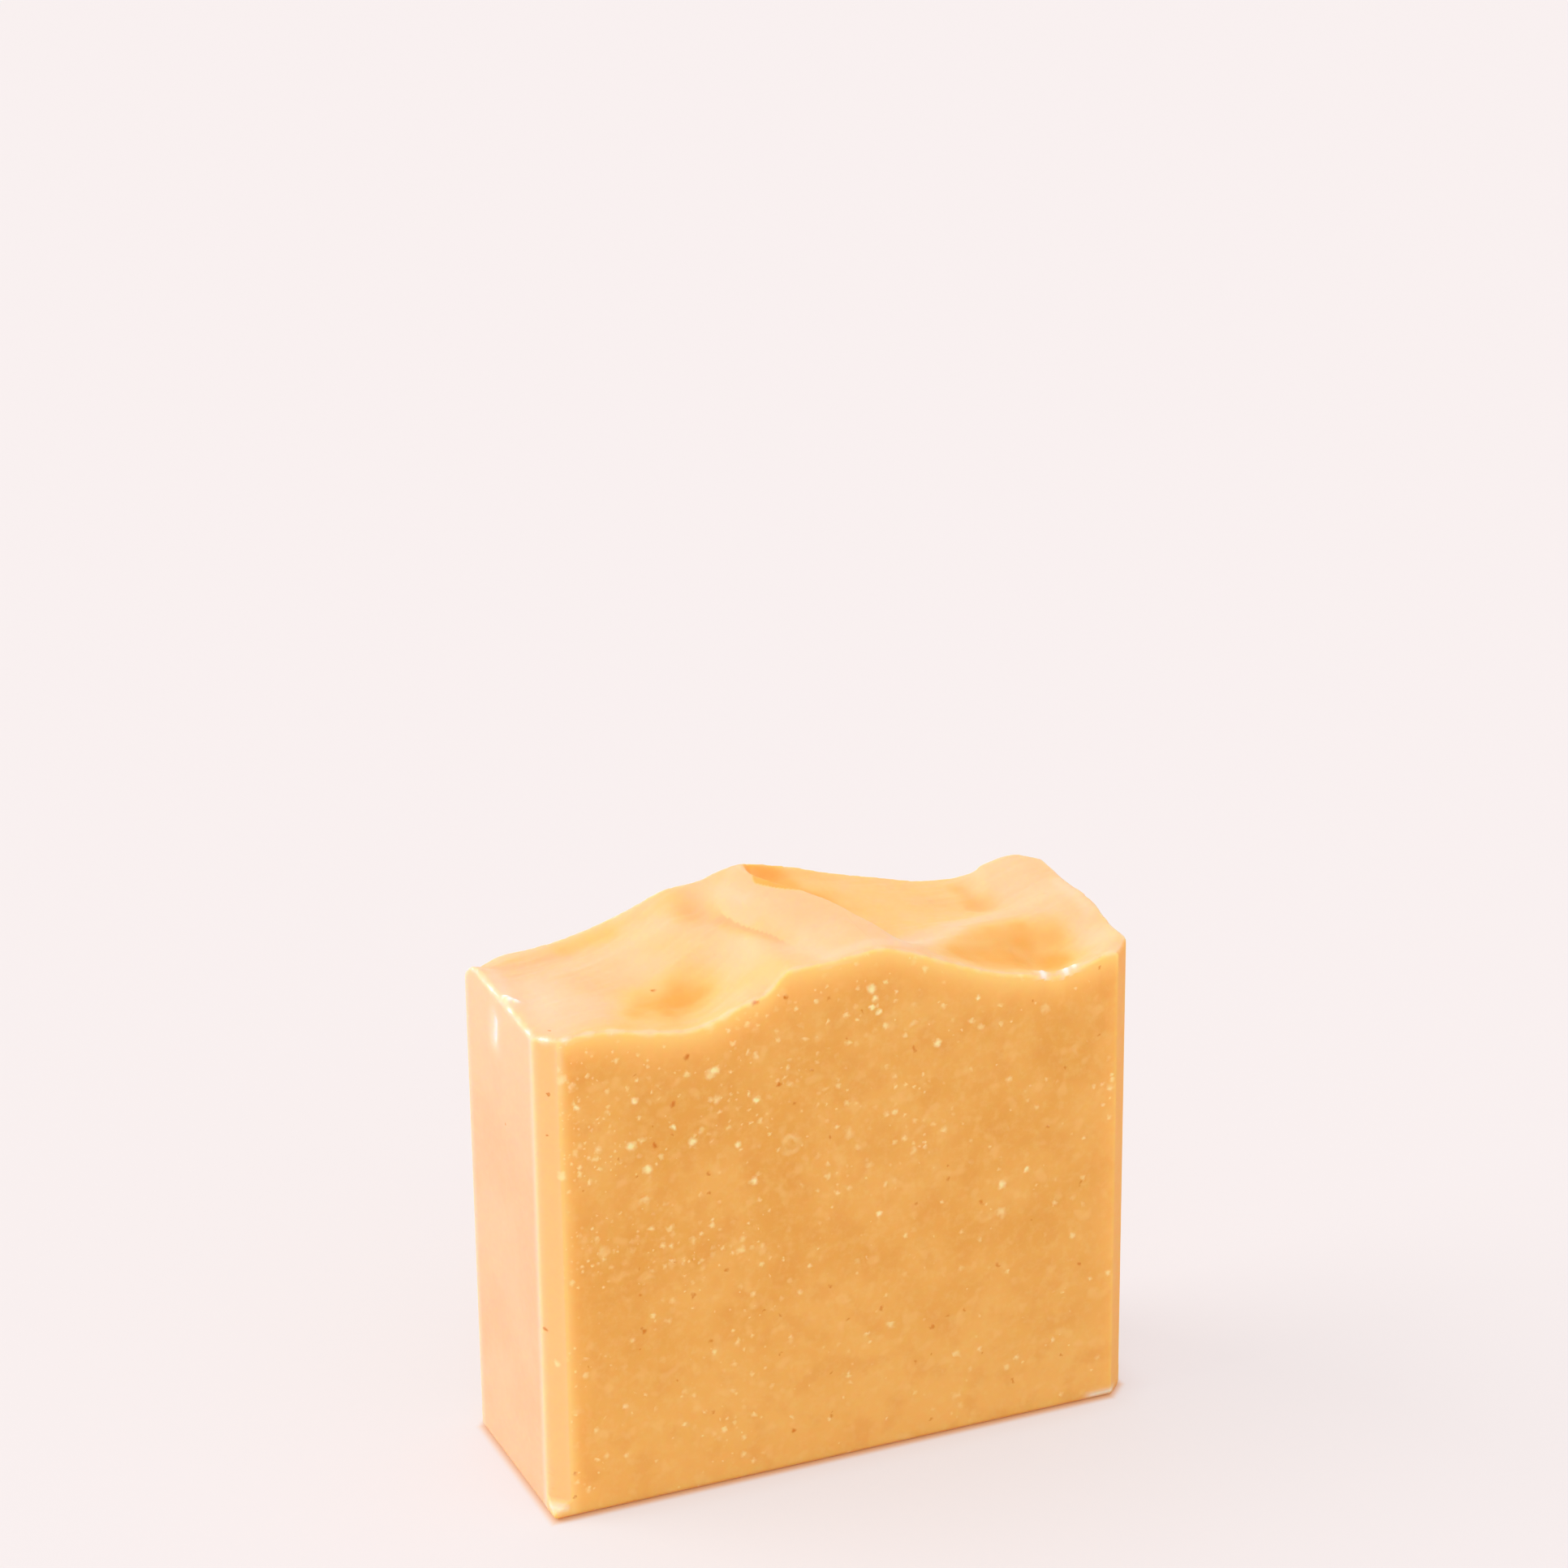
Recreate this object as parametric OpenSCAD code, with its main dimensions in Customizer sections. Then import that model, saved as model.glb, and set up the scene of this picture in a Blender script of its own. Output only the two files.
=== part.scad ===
// Bar of soap, cut from a loaf and standing on its base.
// The two large faces are knife cuts and the two narrow ends met the mould.
// The top was swirled with a spoon while the soap was soft.
// Origin: middle of the base. X runs along the cut faces, Y from the front cut to the back cut.

/* [Bar] */
// Length of the bar along its cut faces
bar_length = 80; // [60:1:110]
// Thickness of the slice between its two cut faces
bar_thickness = 29; // [20:1:45]
// Height of the top at the left end, above the base
wall_height = 65; // [40:1:90]

/* [Edges] */
// Planed bevel on the four upright edges, measured along each face
upright_bevel = 2.5; // [0.5:0.25:5]
// Small bevel all round the base
base_bevel = 0.6; // [0.2:0.1:2]
// Height of the foot at the base of the front left edge, below the planed bevel
foot_height = 1.2; // [0.5:0.1:4]
// Height over which the planed bevel runs out above that foot
foot_ramp = 1.4; // [0.5:0.1:4]
// Radius of the soft edge all round the top
rim_radius = 0.5; // [0.3:0.1:1.5]
// How far the worn back left corner drops
worn_corner_drop = 5; // [0:0.2:8]
// How far along the top the worn corner reaches
worn_corner_reach = 7; // [3:0.5:10]
// How far the worn front right corner drops
front_corner_drop = 3; // [0:0.2:6]
// How far along the top the front right corner reaches
front_corner_reach = 4.5; // [3:0.5:8]

/* [Cut edges of the top] */
// Rise of the peak on the front cut face
front_peak = 4.8; // [2:0.2:8]
// Rise of the ledge to the left of that peak
front_ledge = 4.1; // [2:0.1:6]
// Fall of the dip to the left of the ledge
left_dip = 1.4; // [0.5:0.1:4]
// Fall of the dip to the right of the peak
right_dip = 3; // [1:0.1:6]
// Rise of the peak on the back cut face
back_peak = 6.4; // [3:0.2:10]
// Rise of the step to the left of the back peak
back_step = 4.9; // [3:0.1:8]
// Fall of the dip to the right of the back peak
back_dip = 0.7; // [0:0.1:3]
// Rise of the hill at the back right corner
corner_hill = 0.6; // [0:0.1:3]

/* [Spoon strokes] */
// Depth of the spoon hollow at the left
left_hollow = 2.3; // [0:0.1:4]
// Depth of the spoon hollow at the right
right_hollow = 1.8; // [0:0.1:4]
// Depth of the pocket behind the fold
pocket_depth = 1.8; // [0:0.1:4]
// Height of the lip along the fold
fold_lip = 0.4; // [0:0.1:1.5]
// Height of the ridge between the right hollow and the pocket
ridge_rise = 1.8; // [0:0.1:5]
// Depth of the crease along the left side of the tongue of soap
crease_depth = 1; // [0:0.1:1.5]
// Depth of the small hollow at the back, left of the fold
back_hollow = 1; // [0:0.1:2]
// Height of the small step on the hill at the back right
notch_step = 0.7; // [0:0.1:2]
// Depth of the small hollow at the foot of that step
notch_hollow = 0.7; // [0:0.1:2]
// Depth of the long groove beside the back cut
groove_depth = 0.7; // [0:0.1:1.5]
// Height of the crown along the right end
end_crown = 0.4; // [0:0.1:2]

/* [Facets] */
// Spacing of the points over the top
top_step = 1; // [0.8:0.1:2]

/* [Hidden] */

half_length = bar_length / 2;
half_thickness = bar_thickness / 2;

// The sheet over the top runs this far past the sides, and the block this far above the sheet.
overhang = 0.05;
headroom = 5;
sheet_floor = -2;

// Height of the block, the thickness of its thinnest layers, and how far a cut runs out past it.
tall = wall_height + back_peak + headroom;
sliver = 0.01;
clearance = 1;

// Bevel left on the foot of the front left edge, as a share of the planed one.
foot_share = 0.1;

// Rise of the top along the front cut face, as [x, rise above the left end].
front_cut = [
    [-40, 0.1], [-34, 0.6], [-31, 0.4], [-27, -0.5], [-21, -left_dip], [-17, -0.3], [-13.5, 0.6],
    [-11, 1.2], [-9.3, 2.3], [-7.6, front_ledge], [-5, 4.1], [0, 4.4], [4, front_peak], [8, 3.7],
    [16, 0.4], [21, -1.5], [25, -2.4], [29, -right_dip], [33, -2.2], [37.5, -1.1], [40, -0.4]
];

// Rise of the top along the back cut face.
back_cut = [
    [-40, 1.7], [-36, 0], [-33, -0.3], [-28, 0.1], [-23, 1.1], [-18, 2.6], [-11, back_step],
    [-8, 5], [-5, 5.9], [-2, back_peak], [4, 5.2], [10, 3.2], [17, 1.3], [24, -0.4],
    [28, -back_dip], [33, -0.1], [36, corner_hill], [40, 0.8]
];

// Plan of the fold, as [y, x], running from near the front peak to the back peak.
fold_line = [
    [-14, 7.6], [-9, 7.8], [-6, 7.4], [-2.5, 5.8],
    [2, 4], [6.5, 0.7], [9.5, -1.8], [12, -2.3], [14.5, -2]
];

// Places across the bar between which the fold rises, and how far before the back cut it closes.
fold_rise = [-13, -6];
fold_close = 3;

// Widths of the fold's lip, of its steep drop and of the pocket behind it.
lip_width = 1.6;
drop_width = 1.3;
pocket_width = 9;

// Plan of the crease, as [y, x]: it curls round the tongue's tip towards the back peak.
crease_line = [[-11, -3], [-4.5, -4.8], [0.5, -6.6], [4, -7.8], [8, -7.8], [11, -6.6], [13, -5]];

// Places across the bar where the crease begins and ends.
crease_rise = [-13, -8];
crease_close = [8, 13];

// Widths of the crease's groove, of its steep side and of the step beside it; the groove's share of it.
crease_groove = 1.3;
crease_drop = 1.2;
crease_width = 6;
groove_share = 0.65;

// The fold and the crease cross the bar on a slant, so square to them a width along X is this much.
fold_slant = 0.88;

// Plan of the ridge, as [x, y], and its share of the full rise along the way.
ridge_line = [[5, -14], [9, -10.5], [14, -7.5], [20, -5], [28, -2.5], [35, -1.5], [40, 0]];
ridge_share = [[4, 0], [9, 0.2], [14, 0.5], [20, 0.9], [27, 1], [36, 0.3], [40, 0.1]];

// Widths of the ridge's steep front side and its gentle back side, and its slant.
ridge_front = 3;
ridge_back = 4.5;
ridge_slant = 0.9;

// Plan of the small step on the hill, as [y, x], the places where it begins, and its two widths.
notch_line = [[3, 27.5], [8, 29.5], [14.5, 32.5]];
notch_rise = [3, 9];
notch_drop = 0.7;
notch_width = 7;

// Spoon hollows and the right end's crown in plan, each as [middle, reach, turn].
left_bowl = [[-15.5, -7.5], [9.5, 6.5], 60];
right_bowl = [[33.5, -9], [11.5, 6.5], 12];
back_bowl = [[-10.5, 8], [3.5, 6], 0];
notch_bowl = [[28.5, 4.5], [3.5, 3], 0];
long_groove = [[-24, 10.5], [14, 3.4], 6];
right_crown = [[40, -5], [7, 11], 0];

// The sheet's lines lean along the fold, most at this place along X, and less over this reach.
lean_middle = 2.5;
lean_reach = 30;

// Near the ends, between these distances from the end, they turn to run beside the planed bevels.
bevel_lean = [12, 2];

// Index of the stretch of a curve that holds a place.
function stretch(points, at, i = 0) =
    i >= len(points) - 2 || at < points[i + 1][0] ? i : stretch(points, at, i + 1);

// Slope of one stretch, and the slope at a point between two stretches.
function slope(points, i) = (points[i + 1][1] - points[i][1]) / (points[i + 1][0] - points[i][0]);
function joined(a, b) = a * b <= 0 ? 0 : 2 * a * b / (a + b);
function slope_at(points, i) =
    i == 0 ? slope(points, 0)
    : i == len(points) - 1 ? slope(points, i - 1)
    : joined(slope(points, i - 1), slope(points, i));

// Smooth curve through a few points, with its highs and lows at the points themselves.
function curve(points, at) =
    let (
        i = stretch(points, at),
        run = points[i + 1][0] - points[i][0],
        t = min(max((at - points[i][0]) / run, 0), 1),
        from = points[i][1],
        to = points[i + 1][1]
    )
    from + (to - from) * t * t * (3 - 2 * t)
        + run * t * (1 - t) * ((1 - t) * slope_at(points, i) - t * slope_at(points, i + 1));

// Smooth step from 0 to 1 between two places.
function ease(from, to, at) =
    let (t = min(max((at - from) / (to - from), 0), 1)) t * t * (3 - 2 * t);

// Round bell that falls away from 1 over a reach.
function bell(distance, reach) = exp(-pow(distance / reach, 2));

// Spoon hollow: 1 at its middle, 0 outside an ellipse turned about Z.
function hollow(x, y, bowl) =
    let (
        dx = x - bowl[0][0],
        dy = y - bowl[0][1],
        turn = bowl[2],
        u = (dx * cos(turn) + dy * sin(turn)) / bowl[1][0],
        v = (dy * cos(turn) - dx * sin(turn)) / bowl[1][1],
        inside = max(0, 1 - u * u - v * v)
    )
    inside * inside;

// Fold: soap pushed over to the right, with a lip and a steep drop into the pocket behind it.
function fold(x, y) =
    let (
        d = (x - curve(fold_line, y)) * fold_slant,
        along = ease(fold_rise[0], fold_rise[1], y),
        open = 1 - ease(half_thickness - fold_close, half_thickness, y),
        pocket = d < 0 ? 0 : (1 - bell(d, drop_width)) * bell(d, pocket_width)
    )
    along * open * (fold_lip * bell(d, lip_width) - pocket_depth * pocket);

// Faint crease: a shallow step down to the left of the tongue of soap.
function crease(x, y) =
    let (
        d = (curve(crease_line, y) - x) * fold_slant,
        along = ease(crease_rise[0], crease_rise[1], y) * (1 - ease(crease_close[0], crease_close[1], y)),
        step = d < 0 ? 0 : (1 - bell(d, crease_drop)) * bell(d, crease_width)
    )
    -crease_depth * along * (groove_share * bell(d, crease_groove) + (1 - groove_share) * step);

// Ridge: steep towards the hollow in front of it and gentle towards the pocket.
function ridge(x, y) =
    let (
        d = (y - curve(ridge_line, x)) * ridge_slant,
        reach = d < 0 ? ridge_front : ridge_back
    )
    ridge_rise * curve(ridge_share, x) * bell(d, reach);

// Notch: a small step up to the hill at the back right, steep on its left.
function notch(x, y) =
    let (d = x - curve(notch_line, y))
    notch_step * ease(notch_rise[0], notch_rise[1], y) * bell(d, d < 0 ? notch_drop : notch_width);

// Worn corner of the top: 1 at the corner itself, 0 past its reach.
function worn_corner(x, y, corner, reach) = pow(max(0, 1 - norm([x, y] - corner) / reach), 2);

// Soft edge: how far the top drops near the sides.
function rim(x, y) =
    let (
        to_end = half_length - abs(x),
        to_cut = half_thickness - abs(y),
        to_bevel = (to_end + to_cut - upright_bevel) / sqrt(2),
        short = min(rim_radius, max(0, rim_radius - min(to_end, to_cut, to_bevel)))
    )
    rim_radius - sqrt(rim_radius * rim_radius - short * short);

// Height of the top over one place in plan.
function top_height(x, y) =
    let (
        across = (y + half_thickness) / bar_thickness,
        cut_edges = curve(front_cut, x) * (1 - across) + curve(back_cut, x) * across,
        hollows = left_hollow * hollow(x, y, left_bowl)
            + right_hollow * hollow(x, y, right_bowl)
            + back_hollow * hollow(x, y, back_bowl)
            + notch_hollow * hollow(x, y, notch_bowl)
            + groove_depth * hollow(x, y, long_groove)
            - end_crown * hollow(x, y, right_crown),
        strokes = fold(x, y) + crease(x, y) + ridge(x, y) + notch(x, y),
        back_left = worn_corner(x, y, [-half_length, half_thickness], worn_corner_reach),
        front_right = worn_corner(x, y, [half_length, -half_thickness], front_corner_reach)
    )
    wall_height + cut_edges - hollows + strokes
        - worn_corner_drop * back_left - front_corner_drop * front_right - rim(x, y);

// Places of the sheet's lines near one side: close together over the rim, which is wider on a slant.
function rim_stations(half, slant) =
    [half + overhang, for (a = [30:30:90]) half - slant * rim_radius * (1 - cos(a))];

// All places of the sheet's lines along one axis, given the outer ones from the outside inwards.
function stations(outer) =
    let (
        last = outer[len(outer) - 1],
        steps = ceil(2 * last / top_step)
    )
    concat(
        [for (s = outer) -s],
        [for (k = [1:steps - 1]) -last + k * 2 * last / steps],
        [for (k = [len(outer) - 1:-1:0]) outer[k]]
    );

// The sheet's lines lean to follow the fold in the middle and the planed bevels at the ends.
function lean(x, y) =
    let (
        along_fold = 1 - ease(0, lean_reach, abs(x - lean_middle)),
        to_fold = (curve(fold_line, y) - lean_middle) * along_fold,
        near_end = ease(half_length - bevel_lean[0], half_length - bevel_lean[1], abs(x)),
        to_bevel = max(0, abs(y) - half_thickness + upright_bevel)
    )
    x + to_fold - sign(x) * near_end * to_bevel;

// Solid under the swirled top: a sheet of points, closed by straight walls and a flat floor.
module under_top() {
    xs = stations(rim_stations(half_length, sqrt(2)));
    ys = stations(concat(
        rim_stations(half_thickness, 1),
        [for (k = [1:3]) half_thickness - rim_radius - k * (upright_bevel - rim_radius) / 3]
    ));
    nx = len(xs);
    ny = len(ys);
    sheet_points = [for (x = xs, y = ys) let (at = lean(x, y)) [at, y, top_height(at, y)]];
    sheet = [
        for (i = [0:nx - 2], j = [0:ny - 2], half = [0, 1])
            let (a = i * ny + j, b = a + ny, c = b + 1, d = a + 1)
            half == 0 ? [a, d, c] : [a, c, b]
    ];
    // Border of the sheet, once round from the front left corner.
    border = concat(
        [for (i = [0:nx - 2]) i * ny],
        [for (j = [0:ny - 2]) (nx - 1) * ny + j],
        [for (i = [nx - 1:-1:1]) i * ny + ny - 1],
        [for (j = [ny - 1:-1:1]) j]
    );
    foot = nx * ny;
    around = len(border);
    foot_points = [for (k = border) [sheet_points[k][0], sheet_points[k][1], sheet_floor]];
    walls = [
        for (k = [0:around - 1])
            let (next = (k + 1) % around)
            [foot + k, border[k], border[next], foot + next]
    ];
    middle = foot + around;
    floor_faces = [for (k = [0:around - 1]) [middle, foot + k, foot + (k + 1) % around]];
    polyhedron(
        concat(sheet_points, foot_points, [[0, 0, sheet_floor]]),
        concat(sheet, walls, floor_faces)
    );
}

// Slice cut from the loaf, taller than the finished bar, with the small bevel round its base.
module slice() {
    hull() {
        linear_extrude(height = sliver)
            square([bar_length - 2 * base_bevel, bar_thickness - 2 * base_bevel], center = true);
        translate([0, 0, base_bevel])
            linear_extrude(height = tall - base_bevel) square([bar_length, bar_thickness], center = true);
    }
}

// What a bevel takes off the slice at its back right edge, in plan.
module corner_plan(bevel) {
    polygon([
        [half_length - bevel - clearance, half_thickness + clearance],
        [half_length + clearance, half_thickness - bevel - clearance],
        [half_length + clearance, half_thickness + clearance]
    ]);
}

// What the plane takes off that edge: the whole bevel, down to the base.
module planing() {
    translate([0, 0, -clearance]) linear_extrude(height = tall) corner_plan(upright_bevel);
}

// What it takes off where it left a foot: little at the foot, and the whole bevel above its ramp.
module planing_above_foot() {
    foot_bevel = foot_share * upright_bevel;
    translate([0, 0, -clearance]) linear_extrude(height = tall) corner_plan(foot_bevel);
    hull() {
        translate([0, 0, foot_height]) linear_extrude(height = sliver) corner_plan(foot_bevel);
        translate([0, 0, foot_height + foot_ramp]) linear_extrude(height = tall) corner_plan(upright_bevel);
    }
}

// Slice with its four upright edges planed; the front left one keeps its foot.
module planed_block() {
    difference() {
        slice();
        planing();
        mirror([1, 0, 0]) planing();
        mirror([0, 1, 0]) planing();
        mirror([1, 0, 0]) mirror([0, 1, 0]) planing_above_foot();
    }
}

// Room below the sheet for the foot, which stands out past its bevelled corner.
module foot_room() {
    translate([0, 0, -clearance])
        linear_extrude(height = clearance + foot_height + foot_ramp + clearance)
            square([bar_length + clearance, bar_thickness + clearance], center = true);
}

module soap_bar() {
    color("#EFAB57")
    intersection() {
        planed_block();
        union() {
            under_top();
            foot_room();
        }
    }
}

soap_bar();
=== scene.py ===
import math

import bmesh
import bpy
import numpy as np
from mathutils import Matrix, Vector
from mathutils.bvhtree import BVHTree


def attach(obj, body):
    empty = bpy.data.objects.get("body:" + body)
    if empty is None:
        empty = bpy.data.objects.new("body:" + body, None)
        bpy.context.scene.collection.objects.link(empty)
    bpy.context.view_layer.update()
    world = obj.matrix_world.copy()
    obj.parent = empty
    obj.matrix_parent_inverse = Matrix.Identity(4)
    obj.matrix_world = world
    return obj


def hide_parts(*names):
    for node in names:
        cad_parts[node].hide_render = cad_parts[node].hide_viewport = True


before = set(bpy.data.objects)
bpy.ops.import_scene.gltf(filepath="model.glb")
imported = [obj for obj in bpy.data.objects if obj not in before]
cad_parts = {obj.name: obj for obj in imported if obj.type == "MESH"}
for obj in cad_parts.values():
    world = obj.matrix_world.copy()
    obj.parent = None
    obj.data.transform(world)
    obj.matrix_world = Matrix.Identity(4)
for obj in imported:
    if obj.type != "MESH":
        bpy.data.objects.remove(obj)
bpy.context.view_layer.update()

MM = 0.001

# Sizes of the bar, as in its source, in metres.
HALF_LENGTH = 40 * MM
HALF_THICKNESS = 14.5 * MM
PLANED_BEVEL = 2.5 * MM
BEVEL_LINE = HALF_LENGTH + HALF_THICKNESS - PLANED_BEVEL

# Width of the first even faces of the mesh, and height of the lower corners, one of which has the foot.
FACE_WIDTH = 0.63 * MM
LOWER_CORNER = 3.5 * MM

# Lines on the top in plan, in millimetres: the crease beside the tongue, the fold, and the ridge.
CREASE = [(-4, -11), (-5.5, -4.5), (-7.5, 0), (-8.3, 4), (-8, 8), (-7, 10.5), (-5, 12.5), (-3.5, 13.5)]
FOLD = [(7.8, -10), (7.4, -6), (5.8, -2.5), (4, 2), (0.7, 6.5), (-1.8, 9.5), (-2.3, 12), (-2, 14)]
RIDGE = [(5, -13.5), (9, -10.5), (14, -7.5), (20, -5), (28, -2.5), (35, -1.5)]

# Soft strokes of painted shade, a deeper orange in the top's bowls and hollows, in plan, as [from, to, reach,
# strength], in millimetres.
WARM_SHADE_STROKES = [
    ((-25.5, -9.5), (-19, -9), 3, 0.62),
    ((-31, -12), (-22, -12), 2.2, 0.3),
    ((-22.5, -6.5), (-17, -5.5), 4.2, 0.8),
    ((-19, 9), (-15, 1), 3.6, 0.22),
    ((-33, -13.5), (-16, -13.5), 2.6, 0.4),
    ((15, -11.5), (24, -10.5), 2.6, 0.55),
    ((18, -10), (31, -9.5), 3.6, 0.75),
    ((19, -6.5), (29, -3.8), 2.4, 0.55),
    ((25, -6.5), (33, -5.5), 3, 0.65),
    ((31, -9.5), (34, -10), 2, 0.4),
    ((19, -12.5), (31, -12), 2, 0.6),
    ((-14, -7), (-8, -12.5), 3, 0.3),
    ((-4, -12), (10, -12), 3, 0.14),
    ((-36, 11.3), (-27, 12), 1.6, 0.25),
    ((-27, 12), (-21, 12), 1.8, 0.5),
    ((-21, 12.4), (-16, 12), 1.6, 0.25),
    ((-12.5, 11.5), (-11.5, 8), 2.6, 0.4),
    ((-6, -1), (-4.3, -7), 1.6, 0.3),
    ((27, 5), (27.5, 10.5), 3, 0.8),
    ((8, 5), (16, 4), 3.5, 0.5),
]

# Soft strokes of shade in small hollows on the top, in the same form.
SHADE_STROKES = [
    ((-10.5, 9), (-9, 5), 1.8, 0.6),
    ((-8.6, 4.5), (-7, 0), 1.5, 1),
    ((-6.5, -0.5), (-4.5, -6), 1.3, 0.9),
    ((28.5, 5.5), (30, 11), 2, 0.4),
    ((-36.5, 9.5), (-27, 10.5), 2, 0.35),
    ((22, 7), (27, 5.5), 2.4, 0.25),
]

# Soft strokes of painted highlight, paler colour on the top's ridges and lit slopes, in the same form.
HIGHLIGHT_STROKES = [
    ((-31, 5), (-15, 8), 1.3, 0.5),
    ((-37, -8), (-34, 2), 3.5, 1),
    ((-36, -12), (-31, -6), 3.5, 0.6),
    ((-39, -3), (-38, 8), 1.4, 1.3),
    ((-6.5, 10.5), (-5, 6), 2, 0.8),
    ((-4, -8), (-2, -12.5), 2, 0.6),
    ((-2, -13.4), (9, -12), 1.3, 1),
    ((9, -10.5), (20, -4.5), 1.2, 1.1),
    ((20, -2.6), (28, 0.5), 1.6, 0.5),
    ((30, 10), (36.5, 4), 4, 0.6),
    ((38.5, -4), (38.5, 5), 1.2, 1),
    ((35, -2), (37.5, -9), 1.8, 0.5),
]

# Crumbs of soap on the top, as [x, y, radius], in millimetres.
CRUMBS = [
    (-39.2, -1, 1), (-39, -2, 1), (-38.4, -2.6, 1),
    (27.2, -14.1, 1), (30.4, -14.1, 0.9), (31.6, -13.9, 0.8),
]

# Scratch on the left end, as [y, z] of its two ends, in millimetres.
SCRATCH = ((1.2, 62), (1.6, 59.5))

# Larger cream flecks and brown specks on the front cut face, as [x, z, radius], in millimetres.
CREAM_MARKS = [
    (-17.5, 57.5, 0.9), (-28.5, 49.5, 0.9), (-26.5, 46, 0.85), (-12, 52.5, 0.7),
    (-12.5, 41.5, 0.8), (-20.5, 48.5, 0.85), (-23, 51, 0.6), (-28, 55.5, 0.7),
    (-35.5, 56, 0.6), (-14.5, 47, 0.7), (21.5, 34, 0.8), (25, 35.5, 0.6),
    (4.5, 33.5, 0.6), (3.5, 64.5, 0.9), (12.5, 55.5, 0.7), (18, 60.5, 0.6),
    (4, 63, 0.7), (3.6, 62, 0.5), (4.6, 61.2, 0.6),
]
BROWN_MARKS = [
    (-21, 60, 0.55), (-23, 54, 0.5), (-25.5, 49, 0.6), (-9, 54, 0.45),
    (-12, 65.5, 0.6), (-8, 65.5, 0.55), (-27.5, 24, 0.5), (-7.5, 5.5, 0.5),
]
RING_MARK = (-7.5, 45.5, 1.1)

# Painted highlight at the front right base, as [x, y] of its two ends, and height of its middle, in
# millimetres.
BASE_HIGHLIGHT = ((34.8, -14.5), (37.6, -14.3))
BASE_HIGHLIGHT_HEIGHT = 0.9

# Brown specks and cream flakes on the front left bevel and left end, as [x, y, z, radius], in millimetres.
BEVEL_SPECKS = [
    (-38.6, -13.4, 58, 0.3), (-38.8, -13.2, 52.5, 0.3),
    (-39.6, -12.4, 26, 0.5), (-40, -1.4, 49, 0.3),
]
BEVEL_FLAKES = [(-37.2, -14.5, 60, 0.9), (-37.6, -14.5, 47.3, 0.9), (-38.6, -13.4, 21.5, 0.6)]

# Brown specks on the top, as [x, y, radius], in millimetres.
TOP_SPECKS = [(-21.3, -4, 0.6), (-37.5, -11.5, 0.3)]

# Strength of the painted highlight along the bar's upper rim, as [x in millimetres, strength].
RIM_HIGHLIGHT_STRENGTH = [(-40, 1.0), (-37, 0.95), (-34, 0.75), (-14, 0.6), (5, 0.45), (15, 0.35), (40, 0.45)]

# Heights and depths of the relief.
CREASE_LIP, CREASE_DEPTH = 0.05 * MM, 0.08 * MM
FOLD_LIP, FOLD_DEPTH = 0.12 * MM, 0.3 * MM
STREAK_HEIGHT, RIPPLE_HEIGHT = 0.035 * MM, 0.02 * MM
NICK_DEPTH = 0.12 * MM
SCRATCH_DEPTH = 0.3 * MM

# Patterns in the soap, as repeats in a metre.
CLOUDS, CROWDS, PATCHES, SPOTS = 90.0, 110.0, 260.0, 420.0
GRAINS, WOBBLES, PORES = 700.0, 1100.0, 1500.0

# Colours of the soap: the cut faces, with painted light making them paler low down, the glow in their upper
# edge, and the skin.
CUT_DEEP, CUT_LIGHT, CUT_LOW_PAINTED_LIGHT = "EAAC50", "F1B860", "F6C26A"
CUT_PATCH, CUT_GRAIN, CUT_SPOT = "E6A24A", "F4C878", "F8CC80"
GLOW, GLOW_EDGE = "FABF66", "FFD47E"
# The skin's paler colour is partly its own bloom and partly painted sheen.
SKIN_DEEP, SKIN_LIGHT = "F6C28C", "F9CA9A"
END_DEEP, END_LIGHT, END_HIGH = "F3BA90", "F6C198", "F9CCA4"
# Planed bevels: painted light on the left ones and painted shade on the right ones.
BEVEL_PAINTED_LIT, BEVEL_PAINTED_SHADED = "F9C988", "F3B25E"
# Painted shade on the top: warm orange tones, and a shade colour for small hollows.
WARM_SHADE_COLOUR, WARM_SHADE_DEEP, SHADE = "FBC77C", "F8B254", "EAB07C"
# Cream flecks and brown specks, and painted shade along the base where the bar meets the board.
FLECK, BROWN, CONTACT_SHADE = "FFEBAE", "DA8628", "E8803A"
# Pale worn crumbs and scratch, together with painted highlights.
WORN_AND_HIGHLIGHT, WORN_AND_HIGHLIGHT_BRIGHT = "F6E0CA", "FFF6F6"

# Colours of the board, where it is lit and where it is seen, and close to the bar, where they are painted shade
# and light bounced from the soap.
BOARD_LIT, BOARD_LIT_PAINTED_BOUNCE = "ECE6E6", "F0C090"
BOARD_SEEN, BOARD_SEEN_PAINTED_SHADE, BOARD_SEEN_PAINTED_SHADE_LEFT = "F6EFF0", "E2A468", "F6D2B0"

# Colours and strengths of the room's light and the window, and strength of the soft fill from in front.
ROOM_COLOUR = "FFF8F5"
WINDOW_COLOUR = (1.0, 0.985, 0.96)
ROOM_STRENGTH = 0.85
WINDOW_STRENGTH = 0.45
FILL_STRENGTH = 0.14

# Camera, fitted to the bar's corners and edges in the photograph.
IMAGE_WIDTH = 1932
FOCAL_PIXELS = 5500
SENSOR_WIDTH = 36.0
CAMERA_PLACE = Vector((-0.202815, -0.471730, 0.286092))
CAMERA_YAW = 23.096
CAMERA_PITCH = 21.2
CAMERA_ROLL = -0.679


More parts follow.
